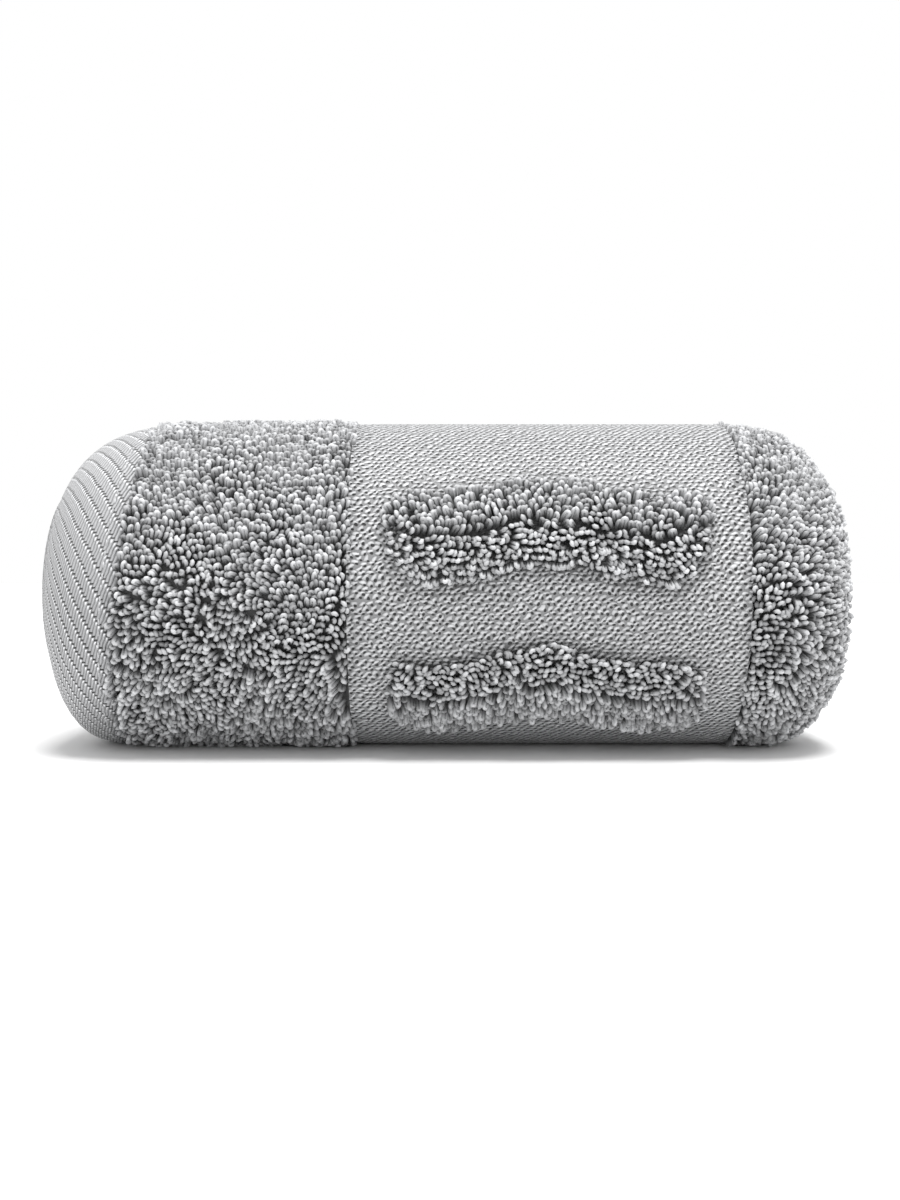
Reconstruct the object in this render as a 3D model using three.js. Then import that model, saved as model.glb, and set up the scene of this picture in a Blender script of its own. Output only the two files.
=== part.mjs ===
// Rolled bath towel, in millimetres, +Z up.
// A towel of 610 x 1270 mm is folded in half along its length and rolled up from a short end.
// The roll lies along X. Its hems show at -X, its folded middle at +X, and its front faces -Y.
// The origin is on the surface that the roll lies on, under the middle of the roll.
import * as THREE from "three";

// Wound form
const ROLL_LENGTH = 296;
const TURN_PITCH = 10; // two layers of 5 mm cloth in each turn
const UNDER_RADIUS = 59; // outer surface where it runs in under the loose end
const TURNS_IN_ENDS = 5.5; // turns that show as a spiral in each end
const AXIS_HEIGHT = 58.5; // less than the radius, so that the roll has a flat spot
const LOOSE_END_ANGLE = 238; // degrees from the front over the top: low on the back

// Height of each surface above the plain wound cloth
const TERRY_RISE = 0.7;
const FIELD_RISE = -0.5;
const HEM_RISE = -1;
const LOOSE_HEM_RISE = { atEdge: -5.5, atBorder: -2.5 };

// Borders along the roll
const HEM_BORDER_X = -114; // middle of a slanting line, where hem meets terry
const HEM_BORDER_SLANT = 6;
const TERRY_BORDER_X = -34;
const FOLD_TERRY_X = 105;
const BORDER_WALL = 2; // length of the slope between two surfaces

// Two raised wavy ribs of pile on the flat field
const RIB_FROM_X = -22;
const RIB_TO_X = 91;
const RIB_END_ROUND = 12;
const RIB_TIP_WIDTH = 0.4; // share of the full width at the very end
const WAVES = 1.5;
const WAVE_SWING = 3; // degrees round the roll
const WAVE_FADE = { from: 160, full: 201, fullTo: 288, to: 330 };

// Across a rib, from one foot to the other: steep sides and a crease along the middle
const RIB_PROFILE = [
  { across: -1, height: 0 },
  { across: -0.87, height: 3.6 },
  { across: -0.45, height: 5 },
  { across: 0, height: 3.6 },
  { across: 0.45, height: 5 },
  { across: 0.87, height: 3.6 },
  { across: 1, height: 0 },
];

// Rounded ends: a superellipse, longer on top than below
const ROUND_POWER = 3;
const HEM_ROUND = { length: 41, more: 13 };
const FOLD_ROUND = { length: 43, more: 8 };
const HEM_EDGE_SHARE = 0.6; // the thin hems close in to this share of the radius
const FOLD_EDGE_SHARE = 0.7; // and the thick fold to this one

// Zones round the roll, in degrees from the loose edge along the cloth
const ARC_ZONES = [
  { surface: "hem", from: 0, to: 45.5, steps: 6 },
  { surface: "terry", from: 47.5, to: 115, steps: 8 },
  { surface: "field", from: 117, to: 198, steps: 9 },
  { surface: "rib", from: 202, to: 232 },
  { surface: "field", from: 236, to: 254, steps: 2 },
  { surface: "rib", from: 258, to: 286 },
  { surface: "field", from: 290, to: 360, steps: 8 },
];

// Across one turn at the hems: two thin edges with a groove between them
const HEM_TURN = [
  { share: 0, groove: 7 },
  { share: 0.1, groove: 0.5 },
  { share: 0.4, groove: 0.5 },
  { share: 0.5, groove: 4 },
  { share: 0.6, groove: 0.5 },
  { share: 0.9, groove: 0.5 },
];

// Across one turn at the fold: one round bulge
const FOLD_TURN = [
  { share: 0, groove: 5 },
  { share: 0.04, groove: 2.5 },
  { share: 0.16, groove: 0.8 },
  { share: 0.36, groove: 0 },
  { share: 0.6, groove: 0 },
  { share: 0.85, groove: 1.5 },
];
const CELLS_IN_TURN = HEM_TURN.length;
const GROOVE_OPENS_AT = 335; // degrees, where the outer turn sinks in under the loose end
const EDGE_BULGE = 1.5; // degrees by which the loose edge is rounded

const FULL_TURN = 360;
const radians = THREE.MathUtils.degToRad;
const lerp = THREE.MathUtils.lerp;

// Columns: every place round the roll that holds a vertex
function ribColumns({ surface, from, to }) {
  const middle = (from + to) / 2;
  return RIB_PROFILE.map(({ across, height }) => ({
    surface,
    middle,
    arc: middle + (across * (to - from)) / 2,
    height,
  }));
}

function evenColumns({ surface, from, to, steps }) {
  return Array.from({ length: steps + 1 }, (_, k) => ({ surface, arc: lerp(from, to, k / steps) }));
}

const columns = ARC_ZONES.flatMap((zone) =>
  zone.surface === "rib" ? ribColumns(zone) : evenColumns(zone),
);
const LAST = columns.length - 1;

function heightAngle(arc) {
  return radians(LOOSE_END_ANGLE - arc);
}

// Length of the rounding at one end, for a direction round the roll
function roundLength(round, arc) {
  return round.length + round.more * Math.sin(heightAngle(arc));
}

// How far a point of the rounding lies behind the flat end, for its share of the radius
function roundDepth(round, share, arc) {
  const left = 1 - Math.min(share, 1) ** ROUND_POWER;
  return roundLength(round, arc) * (1 - left ** (1 / ROUND_POWER));
}

// The share of the radius that the rounding leaves at a depth behind the flat end
function roundShare(round, depth, arc) {
  const left = 1 - Math.min(depth / roundLength(round, arc), 1);
  return (1 - left ** ROUND_POWER) ** (1 / ROUND_POWER);
}

function bodyShare(x, arc) {
  const hemSide = roundShare(HEM_ROUND, x + ROLL_LENGTH / 2, arc);
  const foldSide = roundShare(FOLD_ROUND, ROLL_LENGTH / 2 - x, arc);
  return Math.min(hemSide, foldSide);
}

// Outer radius of a turn of the plain wound cloth; turn 0 is the outermost
function turnRadius(turn, arc) {
  return UNDER_RADIUS + TURN_PITCH * (1 - arc / FULL_TURN - turn);
}

function isAtRibs(x) {
  return x >= RIB_FROM_X && x <= RIB_TO_X;
}

function wave(x) {
  const along = (x - RIB_FROM_X) / (RIB_TO_X - RIB_FROM_X);
  return isAtRibs(x) ? WAVE_SWING * Math.sin(2 * Math.PI * WAVES * along) : 0;
}

function waveStrength(arc) {
  const { from, full, fullTo, to } = WAVE_FADE;
  return Math.max(0, Math.min(1, (arc - from) / (full - from), (to - arc) / (to - fullTo)));
}

// Width of a rib at x as a share of its full width, for its half-round ends
function ribWidth(x) {
  const intoEnd = Math.max(RIB_FROM_X + RIB_END_ROUND - x, x - RIB_TO_X + RIB_END_ROUND, 0);
  return Math.max(RIB_TIP_WIDTH, Math.sqrt(Math.max(0, 1 - (intoEnd / RIB_END_ROUND) ** 2)));
}

// Columns follow the waves, so that each rib keeps a clean edge
function columnArc(column, x) {
  const pinched =
    column.surface === "rib"
      ? column.middle + (column.arc - column.middle) * ribWidth(x)
      : column.arc;
  return pinched + wave(x) * waveStrength(column.arc);
}

function rise(column, lengthSurface, x) {
  if (column.surface === "hem") {
    const { atEdge, atBorder } = LOOSE_HEM_RISE;
    return lerp(atEdge, atBorder, column.arc / ARC_ZONES[0].to);
  }
  if (lengthSurface === "hem") return HEM_RISE;
  if (lengthSurface === "terry" || column.surface === "terry") return TERRY_RISE;
  return column.surface === "rib" && isAtRibs(x) ? FIELD_RISE + column.height : FIELD_RISE;
}

// A point at a radius, in a direction round the roll, cut off by the flat spot
function place(x, radius, arc) {
  const angle = heightAngle(arc);
  const z = AXIS_HEIGHT + radius * Math.sin(angle);
  return [x, -radius * Math.cos(angle), Math.max(0, z)];
}

function hemBorder(arc) {
  return HEM_BORDER_X + HEM_BORDER_SLANT * Math.sin(heightAngle(arc));
}

// Rows: every place along the roll that holds a ring of vertices, as x for a direction
function spread(surface, from, to, steps) {
  return Array.from({ length: steps + 1 }, (_, k) => ({
    surface,
    x: (arc) => lerp(from(arc), to(arc), k / steps),
  }));
}

// Rows over a rounded end, from the edge of the cloth to a border on the side of the roll
function domeRows(end, border, steps) {
  return Array.from({ length: steps }, (_, k) => ({
    surface: end.surface,
    x: (arc) => {
      const borderShare = roundShare(end.round, ROLL_LENGTH / 2 - end.side * border(arc), arc);
      const spreadOut = Math.sin((Math.PI / 2) * ((k + 1) / steps));
      const share = lerp(end.edgeShare, borderShare, spreadOut);
      return k + 1 === steps
        ? border(arc)
        : end.side * (ROLL_LENGTH / 2 - roundDepth(end.round, share, arc));
    },
  }));
}

const hemEnd = {
  side: -1,
  surface: "hem",
  round: HEM_ROUND,
  turn: HEM_TURN,
  edgeShare: HEM_EDGE_SHARE,
  coreDepth: 4,
};
const foldEnd = {
  side: 1,
  surface: "terry",
  round: FOLD_ROUND,
  turn: FOLD_TURN,
  edgeShare: FOLD_EDGE_SHARE,
  coreDepth: 2,
};

const rows = [
  ...domeRows(hemEnd, hemBorder, 6),
  ...spread("terry", (arc) => hemBorder(arc) + BORDER_WALL, () => TERRY_BORDER_X - BORDER_WALL, 5),
  ...spread("field", () => TERRY_BORDER_X, () => RIB_FROM_X - BORDER_WALL, 1),
  ...spread("field", () => RIB_FROM_X, () => RIB_FROM_X + RIB_END_ROUND, 3),
  ...spread("field", () => RIB_FROM_X + 2 * RIB_END_ROUND, () => RIB_TO_X - RIB_END_ROUND, 9),
  ...spread("field", () => RIB_TO_X - (2 * RIB_END_ROUND) / 3, () => RIB_TO_X, 2),
  ...spread("field", () => RIB_TO_X + BORDER_WALL, () => FOLD_TERRY_X - BORDER_WALL, 1),
  ...domeRows(foldEnd, () => FOLD_TERRY_X, 7).reverse(),
];

const points = [];
const faces = [];

function addPoint(point) {
  points.push(...point);
  return points.length / 3 - 1;
}

// Both ends are grids that follow the spiral: cell p across the turns, column j round the roll.
// The last column of one turn is the first column of the next.
const END_CELLS = TURNS_IN_ENDS * CELLS_IN_TURN;

function endPoint(end, cell, column) {
  const turn = Math.floor(cell / CELLS_IN_TURN);
  const { share, groove } = end.turn[cell % CELLS_IN_TURN];
  const { arc } = column;
  const outermost = turn === 0 ? rise(column, end.surface, end.side * ROLL_LENGTH) : 0;
  const radius = lerp(turnRadius(turn, arc) + outermost, turnRadius(turn + 1, arc), share);
  const scaled = radius * end.edgeShare;
  const whole = turnRadius(0, arc) + (turn === 0 ? outermost : 0);
  const depth = roundDepth(end.round, scaled / whole, arc);
  const opened = Math.max(0, (arc - GROOVE_OPENS_AT) / (FULL_TURN - GROOVE_OPENS_AT));
  const grooveShare = turn === 0 && share < 0.5 ? opened : 1;
  return place(end.side * (ROLL_LENGTH / 2 - depth - groove * grooveShare), scaled, arc);
}

function buildEnd(end) {
  const index = columns.map((column, j) =>
    j < LAST
      ? Array.from({ length: END_CELLS + 1 }, (_, p) => addPoint(endPoint(end, p, column)))
      : [],
  );
  for (let p = 0; p <= END_CELLS; p++) {
    index[LAST][p] =
      p + CELLS_IN_TURN <= END_CELLS
        ? index[0][p + CELLS_IN_TURN]
        : addPoint(endPoint(end, p, columns[LAST]));
  }
  for (let j = 0; j < LAST; j++) {
    for (let p = 0; p < END_CELLS; p++) {
      addQuad(index[j][p], index[j + 1][p], index[j + 1][p + 1], index[j][p + 1], end.side < 0);
    }
  }
  closeCore(end, index);
  return index;
}

// The innermost turn is closed by triangles round a middle point
function closeCore(end, index) {
  const middle = addPoint([end.side * (ROLL_LENGTH / 2 - end.coreDepth), 0, AXIS_HEIGHT]);
  const ring = index.map((cells) => cells[END_CELLS]);
  for (let back = 1; back < CELLS_IN_TURN; back++) ring.push(index[LAST][END_CELLS - back]);
  ring.forEach((start, k) => {
    addTriangle(start, ring[(k + 1) % ring.length], middle, end.side < 0);
  });
}

function addTriangle(a, b, c, turned) {
  faces.push(...(turned ? [a, c, b] : [a, b, c]));
}

function addQuad(a, b, c, d, turned) {
  addTriangle(a, b, c, turned);
  addTriangle(a, c, d, turned);
}

// One ring of the side: along the columns, then down the loose edge to the turn below it
function sideRing(row, k) {
  const outline = columns.map((column) => {
    const x = row.x(column.arc);
    const arc = columnArc(column, x);
    const radius = turnRadius(0, arc) + rise(column, row.surface, x);
    return { x, arc, radius: radius * bodyShare(x, arc) };
  });
  const ring = outline.map(({ x, radius, arc }) => addPoint(place(x, radius, arc)));
  const top = outline[0];
  const foot = outline[LAST];
  const along = (k + 1) / (rows.length + 1);
  for (let m = CELLS_IN_TURN - 1; m > 0; m--) {
    const share = lerp(HEM_TURN[m].share, FOLD_TURN[m].share, along);
    const bulge = EDGE_BULGE * (1 - (2 * share - 1) ** 2);
    ring.push(addPoint(place(top.x, lerp(top.radius, foot.radius, share), -bulge)));
  }
  return ring;
}

function endRing(index) {
  const ring = index.map((cells) => cells[0]);
  for (let m = CELLS_IN_TURN - 1; m > 0; m--) ring.push(index[0][m]);
  return ring;
}

function buildSide(hemIndex, foldIndex) {
  const rings = [endRing(hemIndex), ...rows.map(sideRing), endRing(foldIndex)];
  for (let i = 0; i + 1 < rings.length; i++) {
    const near = rings[i];
    const far = rings[i + 1];
    near.forEach((start, q) => {
      const next = (q + 1) % near.length;
      addQuad(start, near[next], far[next], far[q], false);
    });
  }
}

buildSide(buildEnd(hemEnd), buildEnd(foldEnd));

const clothGeometry = new THREE.BufferGeometry();
clothGeometry.setAttribute("position", new THREE.Float32BufferAttribute(points, 3));
clothGeometry.setIndex(faces);
clothGeometry.computeVertexNormals();

const greyCotton = new THREE.MeshStandardMaterial({
  color: new THREE.Color(0.33, 0.33, 0.34),
  roughness: 0.95,
  metalness: 0,
});

const towel = new THREE.Group();
const rolledCloth = new THREE.Mesh(clothGeometry, greyCotton);
rolledCloth.name = "rolled_towel";
towel.add(rolledCloth);

export default towel;
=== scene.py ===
# %% [markdown]
# # A rolled bath towel
# One thick cotton towel, folded in half along its length and rolled up from a short end.
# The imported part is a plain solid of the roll. This script winds the real thing in its place:
# one thin sheet of cloth, with thousands of small yarn loops planted on it.

# %% Load the frame
import math
import bmesh
import bpy
import numpy as np
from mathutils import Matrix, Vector, noise


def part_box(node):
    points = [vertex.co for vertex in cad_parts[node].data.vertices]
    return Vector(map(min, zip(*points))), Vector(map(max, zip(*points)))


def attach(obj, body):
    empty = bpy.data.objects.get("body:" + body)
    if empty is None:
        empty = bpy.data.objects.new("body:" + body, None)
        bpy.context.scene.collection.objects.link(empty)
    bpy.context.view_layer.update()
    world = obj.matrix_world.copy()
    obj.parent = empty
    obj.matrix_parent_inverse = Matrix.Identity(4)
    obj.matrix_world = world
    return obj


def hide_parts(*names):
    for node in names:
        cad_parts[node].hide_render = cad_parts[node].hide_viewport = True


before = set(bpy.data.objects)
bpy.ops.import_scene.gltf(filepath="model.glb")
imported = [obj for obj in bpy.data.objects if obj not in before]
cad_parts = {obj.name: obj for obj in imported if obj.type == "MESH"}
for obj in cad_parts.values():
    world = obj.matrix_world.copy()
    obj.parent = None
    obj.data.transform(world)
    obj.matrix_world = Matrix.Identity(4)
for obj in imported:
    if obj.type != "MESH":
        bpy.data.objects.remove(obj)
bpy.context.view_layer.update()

low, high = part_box("rolled_towel")
print("roll, in mm:", [round((b - a) * 1000, 1) for a, b in zip(low, high)])

# %% [markdown]
# ## The sizes of the towel
# A flat towel has two measures: across, from one long hem to the other, and along, from one
# short end to the other. Folded in half it shows only half of its width. Every size below is in
# millimetres, because yarns and hems are, and a mesh is turned into metres when it is made.

# %% Sizes of the flat towel and of the roll
MM = 0.001
TOWEL_WIDTH = 610
TOWEL_LENGTH = 1270
HALF_LENGTH = high[0] / MM
TURN_PITCH = 10
UNDER_RADIUS = 59
AXIS_HEIGHT = 58.5
LOOSE_END_ANGLE = 238
FULL_TURN = 360
CLOTH_THICKNESS = 1.8

HEM_WIDTH = 42
TERRY_WIDTH = 79
FIELD_WIDTH = 139
FOLD_BEND = 5
END_HEM = 50
END_TERRY = 79
FOLD_TERRY_WIDTH = (TOWEL_WIDTH - FOLD_BEND) / 2 - HEM_WIDTH - TERRY_WIDTH - FIELD_WIDTH
print("pile at the fold on each side, in mm:", FOLD_TERRY_WIDTH)

# %% [markdown]
# ## The spiral
# Rolled cloth is a spiral: each turn lies one pitch inside the last. The length of cloth used up
# after an angle is the integral of the radius, which is a parabola, so a square root turns a
# length of cloth back into an angle. Counting starts at the loose edge, low on the back.

# %% From a length of cloth to a place round the roll
def outer_radius(arc):
    return UNDER_RADIUS + TURN_PITCH * (1 - arc / FULL_TURN)


def arc_at(length):
    start = UNDER_RADIUS + TURN_PITCH / 2
    inner = np.sqrt(start**2 - TURN_PITCH * length / math.pi)
    return np.degrees((start - inner) * 2 * math.pi / TURN_PITCH)


def upward(arc):
    return np.sin(np.radians(LOOSE_END_ANGLE - arc))


def place(x, radius, arc):
    angle = np.radians(LOOSE_END_ANGLE - arc)
    return np.stack([x + 0 * arc, -radius * np.cos(angle), AXIS_HEIGHT + radius * np.sin(angle)], -1)


first_lengths = np.linspace(0, 500, 501)
outer_turn_length = np.interp(FULL_TURN, arc_at(first_lengths), first_lengths)
print("turns:", round(float(arc_at(TOWEL_LENGTH)) / FULL_TURN, 2))
print("cloth in the outermost turn, in mm:", round(float(outer_turn_length)))

# %% [markdown]
# ## The rounded ends
# Both ends of the roll are domed, longer on top than below. A superellipse of power three draws
# them. One function gives how far the dome lies behind the flat end for a share of the radius,
# and the other is its inverse.

# %% Two functions for a dome
ROUND_POWER = 3
HEM_ROUND = {"length": 41, "more": 13}
FOLD_ROUND = {"length": 43, "more": 8}
HEM_EDGE_SHARE = 0.6
FOLD_EDGE_SHARE = 0.7


def round_length(shape, arc):
    return shape["length"] + shape["more"] * upward(arc)


def round_depth(shape, share, arc):
    left = 1 - np.clip(share, 0, 1) ** ROUND_POWER
    return round_length(shape, arc) * (1 - left ** (1 / ROUND_POWER))


def round_share(shape, depth, arc):
    left = 1 - np.clip(depth / round_length(shape, arc), 0, 1)
    return (1 - left**ROUND_POWER) ** (1 / ROUND_POWER)


half_way_up = round_depth(HEM_ROUND, 1, LOOSE_END_ANGLE)
print("length of the dome at the hems, half way up, in mm:", round(float(half_way_up)))

# %% [markdown]
# ## Rows across and columns along
# The mesh has rows at every border between hem, pile and flat weave, so that each face belongs
# to one surface, and a narrow row just before each border, where the cloth steps up or down. The
# towel is laid out from its outer hem, over the fold, back to the inner hem. Columns are spaced by
# angle, wider in the inner turns, which show only at the ends of the roll. They have borders too:
# the short end has a hem, and then a band of pile, which stops at a narrow column.

# %% Rows of the cloth
HALF_STRETCHES = [
    {"zone": "hem", "width": HEM_WIDTH, "rows": 12},
    {"zone": "terry", "width": TERRY_WIDTH, "rows": 14},
    {"zone": "field", "width": FIELD_WIDTH, "rows": 22},
    {"zone": "terry", "width": FOLD_TERRY_WIDTH, "rows": 12},
]
BEND_ROWS = 6
BORDER_STEP = 1.2
half_across = np.concatenate([
    sum(s["width"] for s in HALF_STRETCHES[:k]) + np.linspace(0, s["width"] - BORDER_STEP, s["rows"])
    for k, s in enumerate(HALF_STRETCHES)
])
bend_across = np.linspace(TOWEL_WIDTH - FOLD_BEND, TOWEL_WIDTH + FOLD_BEND, BEND_ROWS + 1) / 2
across = np.concatenate([half_across, bend_across, TOWEL_WIDTH - half_across[::-1]])
half_zones = [s["zone"] for s in HALF_STRETCHES for _ in range(s["rows"])]
row_zone = half_zones + ["terry"] * BEND_ROWS + half_zones[::-1]
print("rows:", len(across))


# %% Columns of the cloth
OUTER_STEP = 6
INNER_STEP = 10
LENGTH_SAMPLES = 5001
lengths = np.linspace(0, TOWEL_LENGTH, LENGTH_SAMPLES)
last_arc = arc_at(TOWEL_LENGTH)
outer_arcs = np.arange(0, FULL_TURN + 2 * OUTER_STEP, OUTER_STEP)
inner_arcs = np.arange(outer_arcs[-1] + INNER_STEP, last_arc - INNER_STEP / 2, INNER_STEP)
along = np.interp(np.concatenate([outer_arcs, inner_arcs, [last_arc]]), arc_at(lengths), lengths)
along[np.argmin(abs(along - END_HEM))] = END_HEM
end_pile_stop = END_HEM + END_TERRY
border_column = np.argmin(abs(along - end_pile_stop))
along[border_column] = end_pile_stop
along[border_column - 1] = end_pile_stop - BORDER_STEP
arcs = arc_at(along)
print("mesh:", len(across), "rows by", len(along), "columns")

# %% [markdown]
# ## How deep the cloth lies
# The solid part reaches as far as the tips of the pile, so the woven cloth itself lies deeper:
# most under pile, less at the hem, least on the flat field. The short end of the towel has a hem
# too, thinner than the pile beside it, so the loose end steps down towards the roll.

# %% Depth of the cloth's middle below the wound surface
OUTER_DEPTH = {"hem": 1.9, "terry": 4.2, "field": 1.4}
INNER_DEPTH = 8.7
LOOSE_HEM_DEPTH = {"edge": 6.5, "border": 4.2}
PILE_COVER = 3.2


def outer_depth(zone, length):
    if length < END_HEM:
        return np.interp(length, [0, END_HEM], [LOOSE_HEM_DEPTH["edge"], LOOSE_HEM_DEPTH["border"]])
    if length < end_pile_stop and zone == "field":
        return OUTER_DEPTH["terry"]
    return OUTER_DEPTH[zone]


print("cloth at the loose edge lies deeper by, in mm:", outer_depth("field", 0) - OUTER_DEPTH["field"])

# %% [markdown]
# ## The path of each column
# A column is one cut through the folded towel. It runs in from the hem over the dome, straight
# along the roll, down the other dome, round the fold, and back on the inside. Rows are spread
# evenly by the length of cloth, as real cloth would be.

# %% Radius of a layer, and rows spread evenly
FINE_STEPS = 49


def layer_radius(x, arc, depth):
    hem_side = np.maximum(HEM_EDGE_SHARE, round_share(HEM_ROUND, HALF_LENGTH + x, arc))
    behind_pile = HALF_LENGTH - PILE_COVER - x
    fold_side = np.maximum(FOLD_EDGE_SHARE, round_share(FOLD_ROUND, behind_pile, arc))
    return (outer_radius(arc) - depth) * np.minimum(hem_side, fold_side)


def even_rows(x_from, x_to, rows, arc, depth):
    fine = (1 - np.cos(np.linspace(0, np.pi, FINE_STEPS))) / 2
    x = x_from + (x_to - x_from) * fine
    run = np.cumsum(np.hypot(np.diff(x), np.diff(layer_radius(x, arc, depth))))
    run = np.concatenate([[0], run])
    return np.interp(np.linspace(0, run[-1], rows), run, x)


def edge_depth(shape, edge_share, arc):
    middle_share = (outer_radius(arc) - TURN_PITCH / 2) / outer_radius(arc % FULL_TURN)
    return round_depth(shape, edge_share * middle_share, arc)


field_radius = layer_radius(0, 0, OUTER_DEPTH["field"])
print("radius of the flat field at its outermost, in mm:", round(float(field_radius), 1))

# %% Work out where each row of each column lies
HEM_BORDER_X = -114
HEM_BORDER_SLANT = 6
TERRY_BORDER_X = -34
FOLD_TERRY_X = 105


def column_path(arc, length):
    hem_edge = edge_depth(HEM_ROUND, HEM_EDGE_SHARE, arc) - HALF_LENGTH
    half_gap = FOLD_EDGE_SHARE * (INNER_DEPTH - OUTER_DEPTH["terry"]) / 2
    bend_x = HALF_LENGTH - PILE_COVER - edge_depth(FOLD_ROUND, FOLD_EDGE_SHARE, arc) - half_gap
    borders = [hem_edge, HEM_BORDER_X + HEM_BORDER_SLANT * upward(arc), TERRY_BORDER_X]
    borders += [FOLD_TERRY_X, bend_x]
    outer_x, outer_r = [], []
    for stretch, x_from, x_to in zip(HALF_STRETCHES, borders, borders[1:]):
        depth = outer_depth(stretch["zone"], length)
        x = even_rows(x_from, x_to - BORDER_STEP, stretch["rows"], arc, depth)
        outer_x.append(x)
        outer_r.append(layer_radius(x, arc, depth))
    turn = np.linspace(0, np.pi, BEND_ROWS + 1)
    near = layer_radius(bend_x, arc, INNER_DEPTH)
    far = layer_radius(bend_x, arc, outer_depth("terry", length))
    bend_r = (near + far) / 2 + (far - near) / 2 * np.cos(turn)
    outer_x = np.concatenate(outer_x)
    back = outer_x[::-1]
    x = np.concatenate([outer_x, bend_x + half_gap * np.sin(turn), back])
    return x, np.concatenate([*outer_r, bend_r, layer_radius(back, arc, INNER_DEPTH)])


paths = [column_path(arc, length) for arc, length in zip(arcs, along)]
cloth_x = np.array([path[0] for path in paths])
cloth_radius = np.array([path[1] for path in paths])
half_rows = sum(stretch["rows"] for stretch in HALF_STRETCHES)
print("grid of places:", cloth_x.shape)

# %% [markdown]
# ## Wind it
# Each place is turned round the roll's axis by its angle. The weight of the roll presses it flat
# on the floor below, so whatever would go under the floor is lifted to it.

# %% Wind the cloth
cloth_places = place(cloth_x, cloth_radius, arcs[:, None])
cloth_places[..., 2] = np.maximum(cloth_places[..., 2], CLOTH_THICKNESS / 2)
print("cloth from", cloth_places.min((0, 1)).round(1), "to", cloth_places.max((0, 1)).round(1))

# %% [markdown]
# ## One grid becomes the towel
# The towel starts as a flat grid, like the real one on a table. Its flat places are kept as UVs,
# in metres, so that weave patterns keep their size. Then every vertex moves to its wound place,
# and a Solidify modifier gives the sheet its thickness.

# %% Make the cloth mesh
ZONE_MATERIALS = ["hem", "terry", "field"]
row_count, column_count = len(across), len(along)
cloth_bm = bmesh.new()
cloth_bm.loops.layers.uv.new("cloth")
bmesh.ops.create_grid(
    cloth_bm, x_segments=row_count - 1, y_segments=column_count - 1, size=0.5, calc_uvs=True
)
cloth_uv = cloth_bm.loops.layers.uv["cloth"]
cloth_bm.verts.ensure_lookup_table()
vertex_row = {}
for v in cloth_bm.verts:
    row = round((v.co.x + 0.5) * (row_count - 1))
    column = round((v.co.y + 0.5) * (column_count - 1))
    vertex_row[v] = (row, column)


def face_zone(row, column):
    middle = (along[column] + along[column + 1]) / 2
    from_end = min(middle, TOWEL_LENGTH - middle)
    if from_end < END_HEM:
        return "hem"
    if from_end < end_pile_stop and row_zone[row] == "field":
        return "terry"
    return row_zone[row]


for face in cloth_bm.faces:
    places = [vertex_row[v] for v in face.verts]
    row, column = min(p[0] for p in places), min(p[1] for p in places)
    face.material_index = ZONE_MATERIALS.index(face_zone(row, column))
    face.smooth = True
    for loop in face.loops:
        r, c = vertex_row[loop.vert]
        loop[cloth_uv].uv = (across[r] * MM, along[c] * MM)
for v, (row, column) in vertex_row.items():
    v.co = Vector(cloth_places[column, row]) * MM
bmesh.ops.recalc_face_normals(cloth_bm, faces=cloth_bm.faces)
towel_mesh = bpy.data.meshes.new("towel")
cloth_bm.to_mesh(towel_mesh)
cloth_bm.free()
towel = bpy.data.objects.new("towel", towel_mesh)
bpy.context.scene.collection.objects.link(towel)
solid = towel.modifiers.new("thickness", "SOLIDIFY")
solid.thickness = CLOTH_THICKNESS * MM
solid.offset = 0
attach(towel, "root")
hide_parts("rolled_towel")
print("cloth faces:", len(towel_mesh.polygons))

# %% [markdown]
# ## Where things stand on the cloth
# Loops and stitches are placed by flat cloth measures, across and along, and the same grid of
# places tells where that is on the roll. Between grid points a place is blended from its four
# neighbours, and so are the outward direction and the direction along the roll.

# %% Look up places and directions on the wound cloth
toward_across = np.gradient(cloth_places, axis=1)
toward_along = np.gradient(cloth_places, axis=0)
outward = np.cross(toward_along, toward_across)
outward /= np.linalg.norm(outward, axis=2, keepdims=True) + 1e-9
top_column = np.argmin(abs(arcs - LOOSE_END_ANGLE + 90))
outward *= np.sign(outward[top_column, half_rows // 2, 2])


def blend(grid, row, column):
    r = np.clip(row.astype(int), 0, row_count - 2)
    c = np.clip(column.astype(int), 0, column_count - 2)
    fr, fc = (row - r)[:, None], (column - c)[:, None]
    near = grid[c, r] * (1 - fr) + grid[c, r + 1] * fr
    far = grid[c + 1, r] * (1 - fr) + grid[c + 1, r + 1] * fr
    return near * (1 - fc) + far * fc


def unit(vectors):
    return vectors / (np.linalg.norm(vectors, axis=1, keepdims=True) + 1e-9)


def stand(spots):
    row = np.interp(spots[:, 0], across, np.arange(row_count))
    column = np.interp(spots[:, 1], along, np.arange(column_count))
    normal = unit(blend(outward, row, column))
    sideways = unit(blend(toward_across, row, column))
    sideways = unit(sideways - normal * (sideways * normal).sum(1, keepdims=True))
    return blend(cloth_places, row, column), normal, sideways, np.cross(sideways, normal)


print("one spot on the front:", stand(np.array([[180.0, 250.0]]))[0].round(1))

# %% [markdown]
# ## The yarn loop
# Terry pile is a yarn that stands up from the cloth in a loop and goes back down. A small circle
# is spun through half a turn for the round top, and its two open ends are pulled down as legs.
# Four sides are enough for a yarn that is seen by the thousand.

# %% Build one loop
YARN_RADIUS = 0.8
LOOP_HALF_WIDTH = 0.6
YARN_SIDES = 4
ARCH_STEPS = 4
LOOP_HEIGHT = 6


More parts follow.
